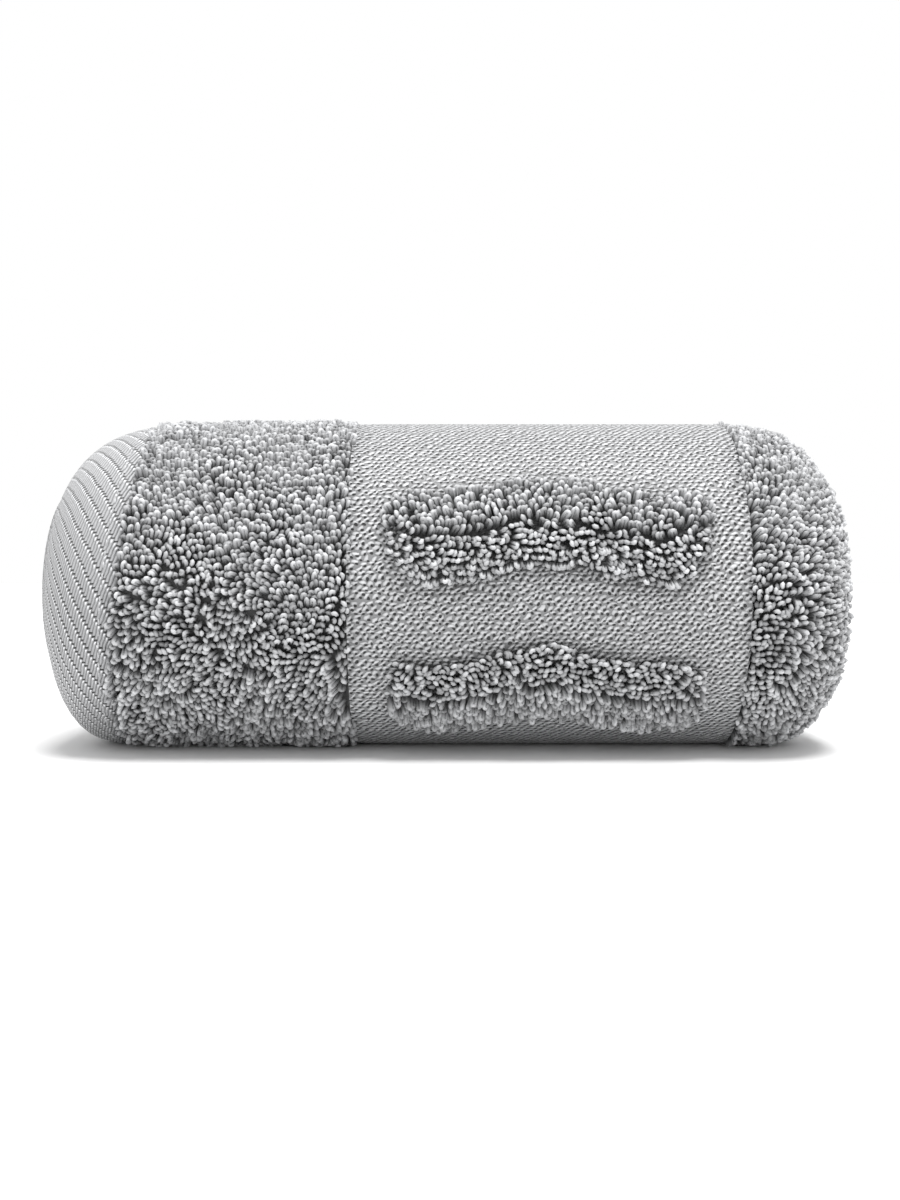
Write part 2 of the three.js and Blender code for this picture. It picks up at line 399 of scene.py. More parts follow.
def loop_template(height):
    bm = bmesh.new()
    start = Vector((LOOP_HALF_WIDTH, 0, height - LOOP_HALF_WIDTH - YARN_RADIUS))
    ring = bmesh.ops.create_circle(bm, segments=YARN_SIDES, radius=YARN_RADIUS)["verts"]
    bmesh.ops.translate(bm, vec=start, verts=ring)
    bmesh.ops.spin(
        bm, geom=list({e for v in ring for e in v.link_edges}), cent=(0, 0, start.z),
        axis=(0, -1, 0), angle=math.pi, steps=ARCH_STEPS, use_duplicate=False,
    )
    rim = [e for e in bm.edges if e.is_boundary]
    moved = bmesh.ops.extrude_edge_only(bm, edges=rim)["geom"]
    feet = [g for g in moved if isinstance(g, bmesh.types.BMVert)]
    bmesh.ops.translate(bm, vec=(0, 0, -start.z - YARN_RADIUS), verts=feet)
    bmesh.ops.recalc_face_normals(bm, faces=bm.faces)
    bm.verts.index_update()
    points = np.array([v.co for v in bm.verts])
    faces = np.array([[v.index for v in f.verts] for f in bm.faces])
    bm.free()
    return points, faces


loop = loop_template(LOOP_HEIGHT)
print("one loop has", len(loop[0]), "points and", len(loop[1]), "faces")

# %% [markdown]
# ## Copies by the thousand
# Loops and stitches are the same few points over and over, so one mesh takes all the copies of
# one kind. Arithmetic on whole arrays gives every point its place, and the faces of the template
# are numbered on from copy to copy.


def join_copies(name, faces, where, tone, material):
    copies, size = where.shape[:2]
    corner = (faces[None] + size * np.arange(copies)[:, None, None]).reshape(-1)
    count, sides = copies * len(faces), faces.shape[1]
    mesh = bpy.data.meshes.new(name)
    mesh.vertices.add(copies * size)
    mesh.vertices.foreach_set("co", (where * MM).reshape(-1))
    mesh.loops.add(len(corner))
    mesh.loops.foreach_set("vertex_index", corner)
    mesh.polygons.add(count)
    mesh.polygons.foreach_set("loop_start", np.arange(count) * sides)
    mesh.polygons.foreach_set("use_smooth", np.ones(count, dtype=bool))
    mesh.attributes.new("tone", "FLOAT", "POINT").data.foreach_set("value", tone.reshape(-1))
    mesh.update(calc_edges=True)
    mesh.materials.append(material)
    obj = bpy.data.objects.new(name, mesh)
    bpy.context.scene.collection.objects.link(obj)
    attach(obj, "root")
    print(name, "has", copies, "copies and", count * (sides - 2), "triangles")


# %% [markdown]
# ## Planting loops
# A loop leans over by bending along its height, as a blade of grass does. Neighbours lean together
# in tufts, so the lean is a smooth random field plus a little of each loop's own. The tone grows
# from root to tip: painted shade at the roots, because little light reaches the roots of dense pile,
# and a painted highlight at the tips. Each loop adds a little random tone of its own.

# %% Bend loops along their height
ROOT_LEAN = 0.3


def bent(points, bend, spin, stretch, width):
    x = points[None, :, 0] * width[:, None]
    y = np.repeat(points[None, :, 1], len(bend), axis=0)
    z = points[None, :, 2] * stretch[:, None]
    twist = spin[:, None] + 0 * z
    x, y = x * np.cos(twist) - y * np.sin(twist), x * np.sin(twist) + y * np.cos(twist)
    root = ROOT_LEAN * bend[:, None]
    rate = (bend[:, None] - root) / z.max(1, keepdims=True)
    turn = root + rate * z
    up = (np.sin(turn) - np.sin(root)) / rate - y * np.sin(turn)
    over = (np.cos(root) - np.cos(turn)) / rate + y * np.cos(turn)
    return x, over, up


one = np.ones(1)
risen = bent(loop[0], one, 0 * one, one, one)[2].max()
print("height of a loop that is bent by one radian, in mm:", round(float(risen), 1))

# %% Plant loops on the cloth
LEAST_BEND = 0.65
MOST_BEND = 1.3
OWN_TONE = 0.3
SHORTEST = 0.7
LONGEST = 1.12
NARROWEST = 0.85
WIDEST = 1.1
MOST_SPIN = 0.9
LEAST_HEIGHT = 0.05


def plant(name, template, spots, lean, seed):
    points, faces = template
    rng = np.random.default_rng(seed)
    count = len(spots)
    spin = rng.uniform(-MOST_SPIN, MOST_SPIN, count)
    width = rng.uniform(NARROWEST, WIDEST, count)
    stretch = rng.uniform(SHORTEST, LONGEST, count)
    base, normal, sideways, round_way = stand(spots)
    bend = np.clip(np.linalg.norm(lean, axis=1), LEAST_BEND, MOST_BEND)
    way = unit(sideways * lean[:, :1] + round_way * lean[:, 1:])
    side_way = np.cross(way, normal)
    x, over, up = bent(points, bend, spin, stretch, width)
    where = (
        base[:, None]
        + side_way[:, None] * x[..., None]
        + way[:, None] * over[..., None]
        + normal[:, None] * up[..., None]
    )
    where[..., 2] = np.maximum(where[..., 2], LEAST_HEIGHT)
    # Tone of each point: a random tone per loop, plus painted shade at the root and a painted
    # highlight towards the tip.
    toward_tip = np.clip(points[:, 2] / points[:, 2].max(), 0, 1)
    tone = OWN_TONE * rng.random(count)[:, None]
    tone = tone + (1 - OWN_TONE) * toward_tip[None] * stretch[:, None]
    join_copies(name, faces, where, tone, loop_yarn)


print("loops bend, in radians, from", LEAST_BEND, "to", MOST_BEND)

# %% [markdown]
# ## Cotton
# All the yarns share one grey, and each material is a Principled shader whose colour, roughness
# and bump come from nodes. What is the same all over, such as the faint sheen of cotton, is set on
# the shader itself. Small functions add the nodes, so that a pattern can be written as a sum.

# %% Start a material
GREY = (0.44, 0.444, 0.453)
COTTON_FINISH = {"Sheen Weight": 0.15, "Sheen Roughness": 0.6, "Specular IOR Level": 0.45}


def new_material(name, color=GREY, finish=COTTON_FINISH):
    material = bpy.data.materials.new(name)
    material.use_nodes = True
    shader = material.node_tree.nodes["Principled BSDF"]
    shader.inputs["Base Color"].default_value = (*color, 1)
    for socket_name, value in finish.items():
        shader.inputs[socket_name].default_value = value
    return material, shader


print("grey of the cotton:", GREY)


# %% Nodes for sums, colours and attributes
def math_node(tree, operation, a, b=0.0, c=0.0):
    node = tree.nodes.new("ShaderNodeMath")
    node.operation = operation
    for socket, value in zip(node.inputs, (a, b, c)):
        if isinstance(value, bpy.types.NodeSocket):
            tree.links.new(value, socket)
        else:
            socket.default_value = value
    return node.outputs[0]


def times(tree, a, b):
    return math_node(tree, "MULTIPLY", a, b)


def plus(tree, a, b):
    return math_node(tree, "ADD", a, b)


def minus(tree, a, b):
    return math_node(tree, "SUBTRACT", a, b)


def grey_ramp(tree, value, stops):
    ramp = tree.nodes.new("ShaderNodeValToRGB")
    for k, (position, level) in enumerate(stops):
        point = ramp.color_ramp.elements[k] if k < 2 else ramp.color_ramp.elements.new(position)
        point.position = position
        point.color = (*[level * c for c in GREY], 1)
    tree.links.new(value, ramp.inputs[0])
    return ramp.outputs[0]


def vertex_value(tree, name):
    node = tree.nodes.new("ShaderNodeAttribute")
    node.attribute_name = name
    return node.outputs["Fac"]


print("every colour of a ramp is a multiple of", GREY)

# %% [markdown]
# ### Fuzz, shared by all the cotton
# Short fibres stand off every spun yarn. All the materials need that, so it is a node group that
# is built once: a fine noise in object space, and a roughness that follows it. Each material
# places the group with its own values, and adds the fuzz to its own relief.

# %% Make and place node groups
def new_group(name, inputs, outputs):
    group = bpy.data.node_groups.new(name, "ShaderNodeTree")
    for socket_name, value in inputs.items():
        socket = group.interface.new_socket(socket_name, in_out="INPUT", socket_type="NodeSocketFloat")
        socket.default_value = value
    for socket_name in outputs:
        group.interface.new_socket(socket_name, in_out="OUTPUT", socket_type="NodeSocketFloat")
    given = group.nodes.new("NodeGroupInput").outputs
    result = group.nodes.new("NodeGroupOutput").inputs
    return group, given, result


def put_group(tree, group, values):
    node = tree.nodes.new("ShaderNodeGroup")
    node.node_tree = group
    for name, value in values.items():
        node.inputs[name].default_value = value
    return node.outputs


print("node groups so far:", len(bpy.data.node_groups))

# %% A node group for fuzz
FUZZ_SCALE = 2200
ROUGHNESS = {"Least": 0.35, "Most": 0.6}


def build_fuzz():
    group, given, result = new_group("cotton_fuzz", ROUGHNESS, ["Fuzz", "Roughness"])
    place_node = group.nodes.new("ShaderNodeTexCoord")
    fibres = group.nodes.new("ShaderNodeTexNoise")
    fibres.inputs["Scale"].default_value = FUZZ_SCALE
    fibres.inputs["Detail"].default_value = 1
    group.links.new(place_node.outputs["Object"], fibres.inputs["Vector"])
    fuzz = fibres.outputs["Fac"]
    spread = minus(group, given["Most"], given["Least"])
    roughness = math_node(group, "MULTIPLY_ADD", fuzz, spread, given["Least"])
    group.links.new(fuzz, result["Fuzz"])
    group.links.new(roughness, result["Roughness"])
    return group


cotton_fuzz = build_fuzz()


def cotton_surface(tree, shader, height, depth, fuzz_depth):
    fibres = put_group(tree, cotton_fuzz, ROUGHNESS)
    tree.links.new(fibres["Roughness"], shader.inputs["Roughness"])
    relief = math_node(tree, "MULTIPLY_ADD", height, depth, times(tree, fibres["Fuzz"], fuzz_depth))
    bump = tree.nodes.new("ShaderNodeBump")
    bump.inputs["Distance"].default_value = MM
    tree.links.new(relief, bump.inputs["Height"])
    tree.links.new(bump.outputs[0], shader.inputs["Normal"])
    return fibres["Fuzz"]


print("roughness of the cotton from", ROUGHNESS["Least"], "to", ROUGHNESS["Most"])

# %% [markdown]
# ### Pile yarn
# The tone of each point comes from its attribute: painted shade at a loop's root, a painted highlight
# at its tip. The cloth under the pile is hardly seen, and darker still, because little light gets
# there.

# %% Yarn materials
YARN_FUZZ = 0.06
# Tones of a loop: near black at the root is painted shade, above the grey at the tip a painted
# highlight.
LOOP_SHADE_AND_HIGHLIGHT_TONES = [(0.1, 0.02), (0.4, 0.24), (0.55, 0.56), (0.75, 0.96), (1, 1.5)]
STITCH_TONES = [(0, 0.9), (1, 1.15)]
GROUND_TONES = [(0.3, 0.03), (0.7, 0.1)]


def yarn_material(name, stops):
    material, shader = new_material(name)
    tree = material.node_tree
    color = grey_ramp(tree, vertex_value(tree, "tone"), stops)
    tree.links.new(color, shader.inputs["Base Color"])
    cotton_surface(tree, shader, height=0.0, depth=0.0, fuzz_depth=YARN_FUZZ)
    return material


def ground_material():
    material, shader = new_material("pile_ground")
    tree = material.node_tree
    fuzz = cotton_surface(tree, shader, height=0.0, depth=0.0, fuzz_depth=YARN_FUZZ)
    tree.links.new(grey_ramp(tree, fuzz, GROUND_TONES), shader.inputs["Base Color"])
    return material


loop_yarn = yarn_material("loop_yarn", LOOP_SHADE_AND_HIGHLIGHT_TONES)
stitch_yarn = yarn_material("stitch_yarn", STITCH_TONES)
pile_ground = ground_material()
print("a loop's tone runs from", LOOP_SHADE_AND_HIGHLIGHT_TONES[0][1], "to", LOOP_SHADE_AND_HIGHLIGHT_TONES[-1][1], "times the grey")

# %% [markdown]
# ### Cloth measures for the weaves
# Each pattern starts from the UV, turned back into millimetres across and along the flat cloth. A
# little noise is added, so that no row of yarn is quite straight. Both weaves need it, so it is a
# group too, and each gives its own sway in millimetres.

# %% A node group for flat measures
SWAY_SCALE = 230


def build_flat_cloth():
    group, given, result = new_group("flat_cloth", {"Sway": 1}, ["Across", "Along"])
    uv = group.nodes.new("ShaderNodeUVMap")
    uv.uv_map = "cloth"
    wobble = group.nodes.new("ShaderNodeTexNoise")
    wobble.inputs["Scale"].default_value = SWAY_SCALE
    wobble.inputs["Detail"].default_value = 2
    group.links.new(uv.outputs[0], wobble.inputs["Vector"])
    split = group.nodes.new("ShaderNodeSeparateXYZ")
    group.links.new(uv.outputs[0], split.inputs[0])
    sway = group.nodes.new("ShaderNodeSeparateColor")
    group.links.new(wobble.outputs["Color"], sway.inputs[0])
    for name, flat, side in zip(("Across", "Along"), split.outputs, sway.outputs):
        moved = times(group, side, given["Sway"])
        group.links.new(math_node(group, "MULTIPLY_ADD", flat, 1 / MM, moved), result[name])
    return group


flat_cloth = build_flat_cloth()
print("nodes in the group for flat measures:", len(flat_cloth.nodes))

# %% [markdown]
# ### Flat weave
# Seen close, the flat field is a mass of small slanted grains, each one a yarn that dives under
# its neighbour and leaves a tiny hole beside it. Two lattices of grains are laid over each
# other, the second half a cell further on, so a grain may reach past the edge of its own cell.
# White noise on the number of a cell gives each grain a little freedom of place and height.
# The colour follows the relief: painted shade in the holes and between the grains, a painted
# highlight on the top of each grain, and painted shade under the ribs.

# %% One lattice of grains
WEAVE_CELL = (2.6, 3.2)
GRAINS = (
    {"shift": 0, "half_length": 1.45, "half_width": 0.68, "slant": 33},
    {"shift": 0.5, "half_length": 1.3, "half_width": 0.65, "slant": 10},
)
GRAIN_FREEDOM = 0.26
GRAIN_HEIGHT = {"least": 0.7, "more": 0.4}
HOLE = {"aside": 0.62, "below": 0.6, "half_width": 0.58, "half_height": 0.5, "depth": 2.2}


def mound(tree, x, y, half_x, half_y):
    along_x, along_y = math_node(tree, "DIVIDE", x, half_x), math_node(tree, "DIVIDE", y, half_y)
    square = plus(tree, times(tree, along_x, along_x), times(tree, along_y, along_y))
    return math_node(tree, "MAXIMUM", minus(tree, 1.0, square), 0.0)


def grain_and_hole(tree, u, v, grain):
    cell_places = [
        plus(tree, math_node(tree, "DIVIDE", flat, size), grain["shift"])
        for flat, size in zip((u, v), WEAVE_CELL)
    ]
    cells = [math_node(tree, "FLOOR", cell_place) for cell_place in cell_places]
    key = tree.nodes.new("ShaderNodeCombineXYZ")
    for cell, socket in zip(cells, key.inputs):
        tree.links.new(cell, socket)
    key.inputs[2].default_value = grain["slant"]
    random = tree.nodes.new("ShaderNodeTexWhiteNoise")
    tree.links.new(key.outputs[0], random.inputs["Vector"])
    own = tree.nodes.new("ShaderNodeSeparateColor")
    tree.links.new(random.outputs["Color"], own.inputs[0])
    local = []
    for cell_place, cell, size, freedom in zip(cell_places, cells, WEAVE_CELL, own.outputs):
        to_middle = math_node(tree, "MULTIPLY_ADD", freedom, GRAIN_FREEDOM, -0.5 - GRAIN_FREEDOM / 2)
        local.append(times(tree, plus(tree, minus(tree, cell_place, cell), to_middle), size))
    x, y = local
    cosine, sine = math.cos(math.radians(grain["slant"])), math.sin(math.radians(grain["slant"]))
    lengthwise = math_node(tree, "MULTIPLY_ADD", y, -sine, times(tree, x, cosine))
    crosswise = math_node(tree, "MULTIPLY_ADD", y, cosine, times(tree, x, sine))
    oval = mound(tree, lengthwise, crosswise, grain["half_length"], grain["half_width"])
    own_height = math_node(
        tree, "MULTIPLY_ADD", own.outputs[2], GRAIN_HEIGHT["more"], GRAIN_HEIGHT["least"]
    )
    height = times(tree, math_node(tree, "SQRT", oval), own_height)
    beside, under = minus(tree, x, HOLE["aside"]), minus(tree, y, HOLE["below"])
    return height, mound(tree, beside, under, HOLE["half_width"], HOLE["half_height"])


print("one cell of the flat weave, in mm:", WEAVE_CELL)

# %% Flat weave material
WEAVE_SWAY = 2.4
WEAVE_RELIEF = 0.8
WEAVE_FUZZ = 0.05
# Weave tones: near black is painted shade in holes and low places, above the grey a painted highlight.
WEAVE_SHADE_AND_HIGHLIGHT_TONES = [(0, 0.02), (0.35, 0.06), (0.5, 0.48), (0.7, 0.85), (1, 1.45)]


def flat_weave_material():
    material, shader = new_material("flat_weave")
    tree = material.node_tree
    measures = put_group(tree, flat_cloth, {"Sway": WEAVE_SWAY})
    u, v = measures["Across"], measures["Along"]
    (first, first_hole), (second, second_hole) = [grain_and_hole(tree, u, v, g) for g in GRAINS]
    hole = times(tree, math_node(tree, "MAXIMUM", first_hole, second_hole), HOLE["depth"])
    hole = math_node(tree, "MINIMUM", hole, 1.0)
    height = minus(tree, math_node(tree, "MAXIMUM", first, second), hole)
    share = math_node(tree, "MULTIPLY_ADD", height, 0.5, 0.5)
    open_air = minus(tree, 1.0, vertex_value(tree, "under_rib"))
    # Painted shade in holes, between grains and under the ribs; painted highlight on the grain tops.
    color = grey_ramp(tree, times(tree, share, open_air), WEAVE_SHADE_AND_HIGHLIGHT_TONES)
    tree.links.new(color, shader.inputs["Base Color"])
    cotton_surface(tree, shader, height, WEAVE_RELIEF, WEAVE_FUZZ)
    return material


flat_weave = flat_weave_material()
print("nodes in the flat weave:", len(flat_weave.node_tree.nodes))

# %% [markdown]
# ### Twill hem
# In twill each yarn passes over a few others and then dives, and its neighbour does the same a
# step further down, which draws slanted ridges. So the pattern has narrow strands side by side,
# and along a strand the height rises at once from the groove and then falls slowly. The colour
# follows the height: painted shade in the grooves and on the sides of the strands, and a painted
# highlight on the head of each float.

# %% Twill material
STRAND_WIDTH = 1.15
STRAND_SLANT = 0.25
RIDGE_SLOPE = math.tan(math.radians(57))
RIDGE_SPACING = 4.9
STRAND_SIDE_FALL = 1.7
GROOVE = {"steepness": 9.0, "share": 0.06}
FLOAT_HEIGHT = {"head": 1.15, "fall": 1.3, "body": 0.6}
TWILL_SWAY = 1.1
TWILL_RELIEF = 1.6
TWILL_SHADE_AND_HIGHLIGHT_TONES = [(0, 0.02), (0.3, 0.3), (0.48, 0.8), (0.62, 0.92), (0.9, 2.4)]
step_down = STRAND_WIDTH / (1 / RIDGE_SLOPE + STRAND_SLANT)
float_length = step_down * RIDGE_SPACING / STRAND_WIDTH
print("one float of the twill, in mm:", round(float_length, 2))


def twill_material():
    material, shader = new_material("twill")
    tree = material.node_tree
    measures = put_group(tree, flat_cloth, {"Sway": TWILL_SWAY})
    u, v = measures["Across"], measures["Along"]
    slanted = math_node(tree, "MULTIPLY_ADD", v, STRAND_SLANT, u)
    strand_place = math_node(tree, "DIVIDE", slanted, STRAND_WIDTH)
    strand = math_node(tree, "FLOOR", strand_place)
    from_middle = minus(tree, math_node(tree, "FRACT", strand_place), 0.5)
    down = math_node(tree, "MULTIPLY_ADD", strand, -step_down, v)
    along_float = math_node(tree, "FRACT", math_node(tree, "DIVIDE", down, float_length))
    side = times(tree, from_middle, from_middle)
    roundness = math_node(tree, "MULTIPLY_ADD", side, -STRAND_SIDE_FALL, 1.0)
    out_of_groove = times(tree, minus(tree, along_float, GROOVE["share"]), GROOVE["steepness"])
    rise = math_node(tree, "MINIMUM", math_node(tree, "MAXIMUM", out_of_groove, 0.0), 1.0)
    fall = math_node(tree, "MULTIPLY_ADD", along_float, -FLOAT_HEIGHT["fall"], FLOAT_HEIGHT["head"])
    fall = math_node(tree, "MAXIMUM", fall, FLOAT_HEIGHT["body"])
    height = times(tree, roundness, times(tree, rise, fall))
    # Painted shade in the grooves and on strand sides, painted highlight on the float heads.
    color = grey_ramp(tree, height, TWILL_SHADE_AND_HIGHLIGHT_TONES)
    tree.links.new(color, shader.inputs["Base Color"])
    cotton_surface(tree, shader, height, TWILL_RELIEF, WEAVE_FUZZ)
    return material


twill = twill_material()
for material in (twill, pile_ground, flat_weave):
    towel_mesh.materials.append(material)

# %% [markdown]
# ## Pile on the borders
# Loops stand in staggered rows. A stretch of pile is a rectangle on the flat towel, and its loops
# are cut from one jittered lattice. The nap lies up the front of the roll and fades where the roll
# turns under. At a free edge of the pile nothing holds the loops, so they spread over it. Tufts
# lean round the hills of a smooth noise and never straight off them, so they swirl as in worn
# pile, and no bald spot opens.

# %% A lattice of places for loops
LOOP_SPACING = 2.1
LATTICE_JITTER = 0.2


def lattice(across_from, across_to, along_from, along_to, spacing, seed):
    rng = np.random.default_rng(seed)
    a = np.arange(across_from, across_to, spacing)
    b = np.arange(along_from, along_to, spacing)
    grid_a, grid_b = np.meshgrid(a, b)
    grid_a = grid_a + (np.arange(len(b)) % 2)[:, None] * spacing / 2
    spots = np.stack([grid_a.reshape(-1), grid_b.reshape(-1)], 1)
    spots += rng.uniform(-LATTICE_JITTER, LATTICE_JITTER, spots.shape) * spacing
    inside = (spots[:, 0] > across_from) & (spots[:, 0] < across_to)
    inside &= (spots[:, 1] > along_from) & (spots[:, 1] < along_to)
    return spots[inside]


print("loops on one square centimetre:", len(lattice(0, 100, 0, 100, LOOP_SPACING, 0)) / 100)

# %% Lean in swirling tufts
OWN_LEAN = 0.15
SLOPE_STEP = 0.05


def swirl(a, b, seed):
    here = noise.noise(Vector((a, b, seed)))
    to_across = noise.noise(Vector((a + SLOPE_STEP, b, seed))) - here
    to_along = noise.noise(Vector((a, b + SLOPE_STEP, seed))) - here
    return to_along / SLOPE_STEP, -to_across / SLOPE_STEP


def tuft_lean(spots, mean, tufts, seed):
    rng = np.random.default_rng(seed)
    size = tufts["size"]
    swirls = np.array([swirl(a / size, b / size, seed) for a, b in spots])
    return mean + tufts["swing"] * swirls + rng.normal(0, OWN_LEAN, spots.shape)


print("swirl at one place:", [round(way, 2) for way in swirl(1.5, 2.5, 0)])

# %% Give a stretch of pile its nap
NAP_BY_LIFT = {-1: -0.1, -0.5: -0.1, 0: -0.4, 0.35: -0.7, 0.7: -1, 1: -1}
EDGE_SPREAD = 1.3
EDGE_REACH = 2.5
STOP_REACH = 8
PILE_TUFTS = {"swing": 0.55, "size": 26}


def plant_pile(name, area, free_edges, seed):
    spots = lattice(*area, LOOP_SPACING, seed)
    lift = upward(arc_at(np.minimum(spots[:, 1], outer_turn_length)))
    nap = np.interp(lift, list(NAP_BY_LIFT), list(NAP_BY_LIFT.values()))
    from_low, from_high = spots[:, 0] - area[0], area[1] - spots[:, 0]
    outwards = free_edges[1] * np.exp(-from_high / EDGE_REACH)
    outwards -= free_edges[0] * np.exp(-from_low / EDGE_REACH)
    near_stop = free_edges[2] * np.exp((spots[:, 1] - area[3]) / STOP_REACH)
    nap = nap * (1 - near_stop) + EDGE_SPREAD * near_stop
    mean = np.stack([EDGE_SPREAD * outwards, nap], axis=1)
    plant(name, loop, spots, tuft_lean(spots, mean, PILE_TUFTS, seed), seed)


print("the nap leans most on the top of the roll:", NAP_BY_LIFT[1])

# %% [markdown]
# ### The stretches of pile
# The border is planted in two pieces, on the back and on the front. Pile also fills the band at
# the loose end, and runs round the fold, where the inner turns show some too. Each stretch has its
# area, as across from and to, then along from and to. Three numbers follow, which are 1 where its
# low side, its high side or its stop along the towel is free. Over a free stop the loops lean far.

# %% Plant the pile
PAST_FOLD = 6
PAST_ONE_TURN = 8
HEM_GAP = 0.6
BORDER_OVERLAP = 1
BACK_TO = 190
PILE_SEED = 10
fold_across = TOWEL_WIDTH / 2
border_from, border_to = HEM_WIDTH, HEM_WIDTH + TERRY_WIDTH
pile_from, pile_to = END_HEM + HEM_GAP, border_to - BORDER_STEP
end_from, field_to = border_to - BORDER_OVERLAP, border_to + FIELD_WIDTH
fold_from, fold_to = fold_across - PAST_FOLD, fold_across + PAST_FOLD
seen_along = outer_turn_length + PAST_ONE_TURN
spiral_to = TOWEL_LENGTH - END_HEM
PILE_AREAS = {
    "border_pile_back": ((border_from, pile_to, pile_from, BACK_TO), (1, 1, 0)),
    "border_pile_front": ((border_from, pile_to, BACK_TO, seen_along), (1, 1, 0)),
    "end_pile": ((end_from, field_to, pile_from, end_pile_stop), (0, 0, 1)),
    "fold_pile": ((field_to, fold_to, pile_from, seen_along), (1, 0, 0)),
    "spiral_pile": ((fold_from, fold_to, seen_along, spiral_to), (0, 0, 0)),
}
for seed, (name, (area, free_edges)) in enumerate(PILE_AREAS.items()):
    plant_pile(name, area, free_edges, seed + PILE_SEED)

# %% [markdown]
# ## Two raised wavy ribs
# On the flat field the pile is drawn as two soft waves. Their loops stand in rows that follow the
# wave and part at a crease: the rows above it lie up the roll, the rows below hang over the field.

# %% The line of a rib
RIB_X = (-22, 91)
RIB_ARCS = ((202, 232), (258, 286))
RIB_END_ROUND = 12
LEAST_END = 0.05
WAVES = 1.5
WAVE_SWING = 3
rib_start = border_to + RIB_X[0] - TERRY_BORDER_X
rib_length = RIB_X[1] - RIB_X[0]


def rib_line(x, arc_from, arc_to):
    wave = WAVE_SWING * np.sin(2 * np.pi * WAVES * x / rib_length)
    into_end = np.maximum(np.maximum(RIB_END_ROUND - x, x - rib_length + RIB_END_ROUND), 0)
    width = np.sqrt(np.maximum(LEAST_END, 1 - (into_end / RIB_END_ROUND) ** 2))
    middle = np.interp((arc_from + arc_to) / 2 + wave, arc_at(lengths), lengths)
    half = (arc_to - arc_from) / 2 * math.radians(1) * UNDER_RADIUS * width
    return middle, half


print("length of a rib, in mm:", rib_length)

# %% Plant the ribs
RIB_SPACING = 2.0
RIB_ROWS = 14
CREASE_GAP = 0.1
CREASE_WANDER = 1.6
CREASE_LENGTH = 13
RIB_JITTER = {"along_rib": 0.35, "aside": 0.4}
RIB_FILL = 0.85
PARTING = {"least": 0.3, "more": 0.8}
RIB_TUFTS = {"swing": 0.4, "size": 14}
RIB_SEEDS = {"spots": 30, "tufts": 50, "loops": 60}


def rib_spots(arc_from, arc_to, seed):
    rng = np.random.default_rng(seed)
    rows = (np.arange(RIB_ROWS) + 0.5) / RIB_ROWS * 2 - 1
    x, row = np.meshgrid(np.arange(1, rib_length, RIB_SPACING), rows)
    x = x + (np.arange(RIB_ROWS) % 2)[:, None] * RIB_SPACING / 2
    shake = RIB_JITTER["along_rib"]
    x = (x + rng.uniform(-shake, shake, x.shape) * RIB_SPACING).reshape(-1)
    row = row.reshape(-1)
    middle, half = rib_line(x, arc_from, arc_to)
    crease = [noise.noise(Vector((place_x / CREASE_LENGTH, seed, 0))) for place_x in x]
    aside = rng.uniform(-RIB_JITTER["aside"], RIB_JITTER["aside"], len(x))
    offset = RIB_FILL * row * half + np.sign(row) * CREASE_GAP
    offset = offset + CREASE_WANDER * np.array(crease) + aside
    enough_room = rng.random(len(x)) < half / half.max()
    spots = np.stack([rib_start + x, middle + offset], 1)
    return spots[enough_room], row[enough_room]


for number, (arc_from, arc_to) in enumerate(RIB_ARCS):
    spots, row = rib_spots(arc_from, arc_to, RIB_SEEDS["spots"] + number)
    parting = np.sign(row) * (PARTING["least"] + PARTING["more"] * abs(row))
    mean = np.stack([0 * row, parting], axis=1)
    lean = tuft_lean(spots, mean, RIB_TUFTS, RIB_SEEDS["tufts"] + number)
    plant(f"rib_{number + 1}", loop, spots, lean, RIB_SEEDS["loops"] + number)

# %% [markdown]
# ### Shade under the ribs
# Little light gets in under a rib. Each vertex of the cloth keeps how far it lies under one, and
# the flat weave turns darker there.

# %% Mark the cloth under the ribs
SHADE = {"reach": 1.2, "most": 0.7}
under_rib = np.zeros(len(towel_mesh.vertices))
flat_across = np.tile(across, len(along))
flat_along = np.repeat(along, len(across))
for arc_from, arc_to in RIB_ARCS:
    x = flat_across - rib_start
    middle, half = rib_line(np.clip(x, 0, rib_length), arc_from, arc_to)
    inside = np.clip(SHADE["reach"] - abs(flat_along - middle) / half, 0, SHADE["most"])
    inside *= np.clip(np.minimum(x, rib_length - x) / RIB_END_ROUND, 0, 1)
    under_rib = np.maximum(under_rib, np.where((x > 0) & (x < rib_length), inside, 0))
towel_mesh.attributes.new("under_rib", "FLOAT", "POINT").data.foreach_set("value", under_rib)
print("vertices under the ribs:", int((under_rib > 0.5).sum()))

# %% [markdown]
# ## Stitches
# A line of stitches holds each hem, just beside the pile. A stitch is a short thick yarn lying on
# the cloth, a squeezed ball that is longest along its line.

# %% Sew the hems
STITCH = {"length": 2.8, "width": 0.8, "gap": 0.9}
STITCH_FROM_PILE = 4.5
STITCH_FROM_EDGE = 2
STITCH_FROM_FOLD = 4
STITCH_SEEDS = {"hem": 70, "end": 71}


